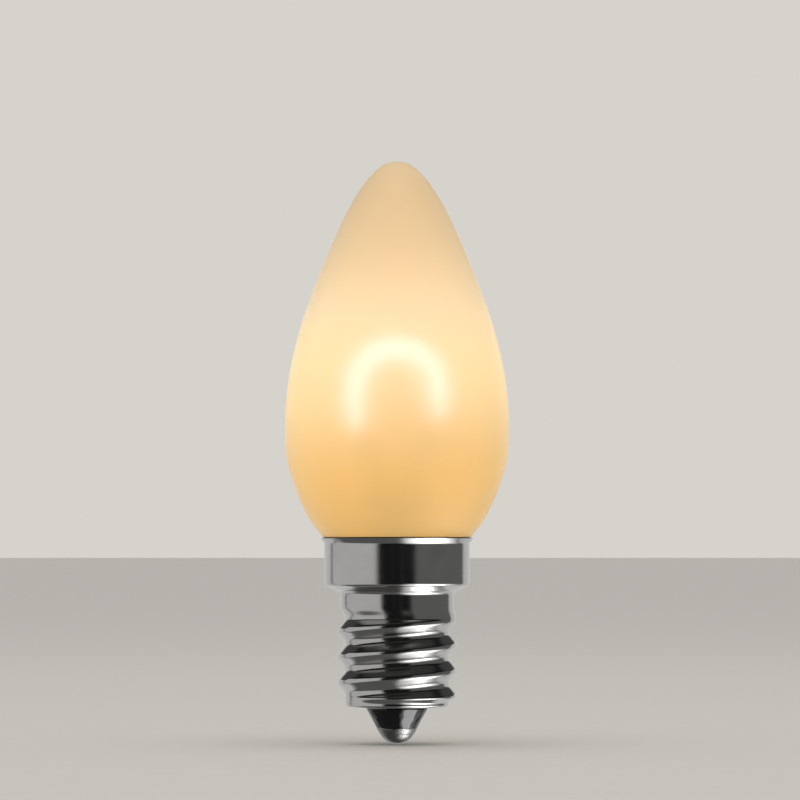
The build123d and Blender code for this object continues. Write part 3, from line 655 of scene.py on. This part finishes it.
def thread_tree():
    """Rolls a thread into a plain tube: round crests and roots, sloped flanks, faded out at its ends."""
    tree, sizes = new_tree("roll_thread", [
        "Pitch", "Flank", "Crest Radius", "Root Radius", "Crest Bend", "Root Bend", "Crest Height",
        "Foot", "Low", "High", "Band",
    ])
    # how far each point is from the nearest crest and root, along the axis
    place = add(tree, "GeometryNodeInputPosition")
    xyz = add(tree, "ShaderNodeSeparateXYZ", {0: place}).outputs
    angle = add(tree, "ShaderNodeMath", {0: xyz["Y"], 1: xyz["X"]}, operation="ARCTAN2")
    turn = add(tree, "ShaderNodeMath", {0: angle, 1: 2 * pi}, operation="DIVIDE")
    held = add(tree, "ShaderNodeClamp", {"Value": xyz["Z"], "Min": sizes["Low"], "Max": sizes["High"]})
    rise = add(tree, "ShaderNodeMath", {0: held, 1: sizes["Crest Height"]}, operation="SUBTRACT")
    climb = add(tree, "ShaderNodeMath", {0: rise, 1: sizes["Pitch"]}, operation="DIVIDE")
    phase = add(tree, "ShaderNodeMath", {0: climb, 1: turn}, operation="SUBTRACT")
    part = add(tree, "ShaderNodeMath", {0: phase, 1: 0.5}, operation="PINGPONG")
    off_crest = add(tree, "ShaderNodeMath", {0: part, 1: sizes["Pitch"]}, operation="MULTIPLY")
    half = add(tree, "ShaderNodeMath", {0: sizes["Pitch"], 1: 0.5}, operation="MULTIPLY")
    off_root = add(tree, "ShaderNodeMath", {0: half, 1: off_crest}, operation="SUBTRACT")

    # how far the thread falls from a crest, or rises from a root: an arc, then a straight flank
    sine = add(tree, "ShaderNodeMath", {0: sizes["Flank"]}, operation="SINE")
    slope = add(tree, "ShaderNodeMath", {0: sizes["Flank"]}, operation="TANGENT")
    falls = []
    for bend, off in (("Crest Bend", off_crest), ("Root Bend", off_root)):
        share = add(tree, "ShaderNodeMath", {0: off, 1: sizes[bend]}, operation="DIVIDE")
        round_share = add(tree, "ShaderNodeMath", {0: share, 1: sine}, operation="MINIMUM")
        square = add(tree, "ShaderNodeMath", {0: round_share, 1: 2.0}, operation="POWER")
        rest = add(tree, "ShaderNodeMath", {0: 1.0, 1: square}, operation="SUBTRACT")
        root = add(tree, "ShaderNodeMath", {0: rest}, operation="SQRT")
        drop = add(tree, "ShaderNodeMath", {0: 1.0, 1: root}, operation="SUBTRACT")
        flank = add(tree, "ShaderNodeMath", {0: share, 1: round_share}, operation="SUBTRACT")
        both = add(tree, "ShaderNodeMath", {0: flank, 1: slope, 2: drop}, operation="MULTIPLY_ADD")
        falls.append(add(tree, "ShaderNodeMath", {0: both, 1: sizes[bend]}, operation="MULTIPLY"))
    crest = add(tree, "ShaderNodeMath", {0: sizes["Crest Radius"], 1: falls[0]}, operation="SUBTRACT")
    root = add(tree, "ShaderNodeMath", {0: sizes["Root Radius"], 1: falls[1]}, operation="ADD")
    bends = add(tree, "ShaderNodeMath", {0: sizes["Crest Bend"], 1: sizes["Root Bend"]}, operation="ADD")
    part_crest = add(tree, "ShaderNodeMath", {0: sizes["Crest Bend"], 1: bends}, operation="DIVIDE")
    limit = add(tree, "ShaderNodeMath", {0: part_crest, 1: half}, operation="MULTIPLY")
    near_root = add(tree, "ShaderNodeMath", {0: off_crest, 1: limit}, operation="GREATER_THAN")
    thread = add(tree, "ShaderNodeMix", {0: near_root, 2: crest, 3: root})

    # the tube is pulled from its plain radius to the thread's, less and less towards the ends
    fade_in = add(tree, "ShaderNodeMapRange",
                  {"Value": xyz["Z"], "From Min": sizes["Foot"], "From Max": sizes["Low"]},
                  interpolation_type="SMOOTHSTEP")
    fade_out = add(tree, "ShaderNodeMapRange",
                   {"Value": xyz["Z"], "From Min": sizes["Band"], "From Max": sizes["High"]},
                   interpolation_type="SMOOTHSTEP")
    depth = add(tree, "ShaderNodeMath", {0: fade_in, 1: fade_out}, operation="MULTIPLY")
    flat = add(tree, "ShaderNodeCombineXYZ", {"X": xyz["X"], "Y": xyz["Y"], "Z": 0.0})
    plain = add(tree, "ShaderNodeVectorMath", {0: flat}, operation="LENGTH").outputs["Value"]
    radius = add(tree, "ShaderNodeMix", {0: depth, 2: plain, 3: thread})
    pull = add(tree, "ShaderNodeMath", {0: radius, 1: plain}, operation="DIVIDE")
    grown = add(tree, "ShaderNodeMath", {0: pull, 1: 1.0}, operation="SUBTRACT")
    offset = add(tree, "ShaderNodeVectorMath", {0: flat, "Scale": grown}, operation="SCALE")
    rolled = add(tree, "GeometryNodeSetPosition", {"Geometry": sizes["Geometry"], "Offset": offset})
    end_tree(tree, rolled, sizes["Material"])
    return tree


thread_pitch = 2.54 * MM
crest_radius = 5.87 * MM
root_radius = 5.15 * MM
crest_bend = 0.47 * MM
flank_angle = radians(39)
thread_depth = crest_radius - root_radius
# the arc of the root is as large as the straight flanks between it and the crest leave room for
root_bend = (thread_pitch / 2 * tan(flank_angle) - thread_depth) / (1 / cos(flank_angle) - 1) - crest_bend
first_crest = 1.1 * MM       # height of a crest above the foot of the shell, on the right
band_radius = 5.65 * MM
flange_radius = 2.9 * MM
skirt_radius = 7.21 * MM
foot_height = 0.36 * MM
lower_runout = 0.64 * MM
thread_length = 7.72 * MM
upper_runout = 1.18 * MM
band_height = 1.45 * MM
shoulder_height = 0.67 * MM
skirt_height = 4.13 * MM
lip_height = 0.52 * MM
foot_bend = 0.3 * MM
band_bend = 0.5 * MM
shoulder_bend = 0.38 * MM
lip_bend = 0.35 * MM
thread_foot = shell_low.z + foot_height
thread_low = thread_foot + lower_runout
thread_high = thread_low + thread_length
band_low = thread_high + upper_runout
shoulder_low = band_low + band_height
skirt_low = shoulder_low + shoulder_height
lip_low = skirt_low + skirt_height
lip_top = lip_low + lip_height
row = 0.085 * MM

corners = [
    (flange_radius, shell_low.z),
    (root_radius, shell_low.z),
    (root_radius, thread_foot),
]
foot = rounded([Vector(c) for c in corners], [foot_bend], row)
corners = [
    (band_radius, band_low),
    (band_radius, shoulder_low),
    (skirt_radius, skirt_low),
    (skirt_radius, lip_low),
    (shell_high.x, lip_top),
]
cap = rounded([Vector(c) for c in corners], [band_bend, shoulder_bend, lip_bend], row)
tube = []
rows = round((band_low - thread_foot) / row)
for i in range(1, rows):
    height = thread_foot + (band_low - thread_foot) * i / rows
    share = min(max((height - thread_low) / thread_length, 0), 1)
    tube.append(Vector((root_radius + (band_radius - root_radius) * share, height)))
blank = shown("plain_cap", turned("plain_cap", foot + tube + cap, around=160, closed=False))
run_tree(blank, thread_tree(), {
    "Pitch": thread_pitch,
    "Flank": flank_angle,
    "Crest Radius": crest_radius,
    "Root Radius": root_radius,
    "Crest Bend": crest_bend,
    "Root Bend": root_bend,
    "Crest Height": shell_low.z + first_crest,
    "Foot": thread_foot,
    "Low": thread_low,
    "High": thread_high,
    "Band": band_low,
    "Material": plated_nickel(),
})
wall = blank.modifiers.new("sheet", "SOLIDIFY")
wall.thickness = sheet
wall.offset = -1
wall.use_even_offset = True
edges = blank.modifiers.new("deburred_edges", "BEVEL")
edges.width = 0.05 * MM
edges.segments = 2
edges.limit_method = "ANGLE"
edges.angle_limit = radians(50)
edges.harden_normals = True
shell = baked(blank, "threaded_screw_shell")
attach(shell, "root")
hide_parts("screw_shell")

# Basing cement: a ring of filled resin, baked hard between the neck of the glass and the skirt.
# It is pressed in as a paste, and the lip of the shell hides it.
# baked resin with stone filler: dull, sandy and tan
cement = mottled("baked_basing_cement", "#a98d68", "#d3bd97", grain=0.3, roughness=(0.75, 0.95), bump=0.4)
dress(cement, "basing_cement")

# Studio: a pale floor, a pale dome that lights it, and panels that only shiny surfaces show.
# The camera stands level with the cap and looks a little up, as a long lens does.
floor_half = 30000 * MM
floor_corners = [(-1, -1, 0), (1, -1, 0), (1, 1, 0), (-1, 1, 0)]
floor = bpy.data.meshes.new("floor")
floor.from_pydata([Vector(c) * floor_half for c in floor_corners], [], [(0, 1, 2, 3)])
floor = shown("floor", floor)
# uncoated paper: matt and nearly white
paper = mottled("matt_paper", "#dcdad5", "#e2e0dc", grain=3.0, roughness=(0.7, 0.8), bump=0.02)
floor.data.materials.append(paper)
floor.visible_glossy = False

world = bpy.data.worlds.new("studio")
world.use_nodes = True
tree = world.node_tree
tree.nodes.clear()
bpy.context.scene.world = world
way = add(tree, "ShaderNodeTexCoord").outputs["Generated"]
xyz = add(tree, "ShaderNodeSeparateXYZ", {0: way}).outputs
front = add(tree, "ShaderNodeMath", {0: xyz["Y"], 1: -1.0}, operation="MULTIPLY")
bearing = add(tree, "ShaderNodeMath", {0: xyz["X"], 1: front}, operation="ARCTAN2")
slope = add(tree, "ShaderNodeMath", {0: xyz["Z"]}, operation="ARCSINE")
panels = [
    # bearing from the front, elevation and width of the soft edge in degrees, light
    ((-125, -32), (-34, 28), 2, 0.62),      # left wall
    ((29, 125), (-34, 28), 2, 0.14),        # right wall, in shade
    ((129, 190), (-45, 12), 2, 0.67),       # far wall, its right half
    ((-190, -129), (-45, 12), 2, 0.67),     # far wall, its left half
    ((20, 118), (-75, -25), 30, 1.6),       # soft lamp, low on the right
    ((44, 100), (-60, -36), 10, 4.5),       # bright middle of that lamp
    ((-180, 180), (-95, -34), 2, 0.12),     # table
    ((-180, 180), (50, 95), 8, 0.04),       # ceiling
    ((125, 190), (12, 50), 4, 0.06),        # dim upper part of the far wall, right half
    ((-190, -125), (12, 50), 4, 0.06),      # dim upper part of the far wall, left half
    ((-7, -5.6), (-20, 30), 1, 0.03),       # thin upright strip, left of the camera
    ((7.2, 8.7), (-20, 30), 1, 0.05),       # thin upright strip, right of the camera
]
total = 0.012                               # light of the dark room between the panels
for bearings, slopes, soft_edge, strength in panels:
    mask = strength
    for value, (low, high) in ((bearing, bearings), (slope, slopes)):
        middle = radians((low + high) / 2)
        half = radians((high - low) / 2)
        off = add(tree, "ShaderNodeMath", {0: value, 1: middle}, operation="SUBTRACT")
        size = add(tree, "ShaderNodeMath", {0: off}, operation="ABSOLUTE")
        share = add(tree, "ShaderNodeMapRange", {
            "Value": size,
            "From Min": half + radians(soft_edge / 2),
            "From Max": half - radians(soft_edge / 2),
        }, interpolation_type="SMOOTHSTEP")
        mask = add(tree, "ShaderNodeMath", {0: mask, 1: share}, operation="MULTIPLY")
    total = add(tree, "ShaderNodeMath", {0: total, 1: mask}, operation="ADD")
room = add(tree, "ShaderNodeBackground", {"Color": total, "Strength": 1.0})
dome = add(tree, "ShaderNodeBackground", {"Color": linear("#f2f0ec"), "Strength": 0.8})
backdrop = add(tree, "ShaderNodeBackground", {"Color": linear("#d6d3cd"), "Strength": 1.0})
# mirrors show the room, matt and frosted surfaces are lit by the dome, and the camera sees the backdrop
path = add(tree, "ShaderNodeLightPath").outputs
even = add(tree, "ShaderNodeMath", {0: path["Is Diffuse Ray"], 1: path["Is Transmission Ray"]},
           operation="MAXIMUM")
soft = add(tree, "ShaderNodeMixShader", {0: even, 1: room, 2: dome})
seen = add(tree, "ShaderNodeMixShader", {0: path["Is Camera Ray"], 1: soft, 2: backdrop})
add(tree, "ShaderNodeOutputWorld", {"Surface": seen})

# soft lamp above, which gives the shadow on the floor
lamp = bpy.data.lights.new("overhead", "AREA")
lamp.energy = 0.6
lamp.size = 500 * MM
lamp = shown("overhead", lamp)
lamp.location = Vector((0, -100, 600)) * MM
lamp.visible_glossy = False

camera = bpy.data.cameras.new("camera")
camera.lens = 200
frame_width = 79.4 * MM
aim = Vector((0.3, 0, 34.1)) * MM
elevation = radians(-2)
distance = frame_width / 2 / (camera.sensor_width / 2 / camera.lens)
camera = shown("camera", camera)
back = Vector((0, -cos(elevation), sin(elevation)))
camera.location = aim + back * distance
camera.rotation_mode = "QUATERNION"
camera.rotation_quaternion = (-back).to_track_quat("-Z", "Y")
bpy.context.scene.camera = camera
bpy.context.scene.view_settings.view_transform = "Standard"
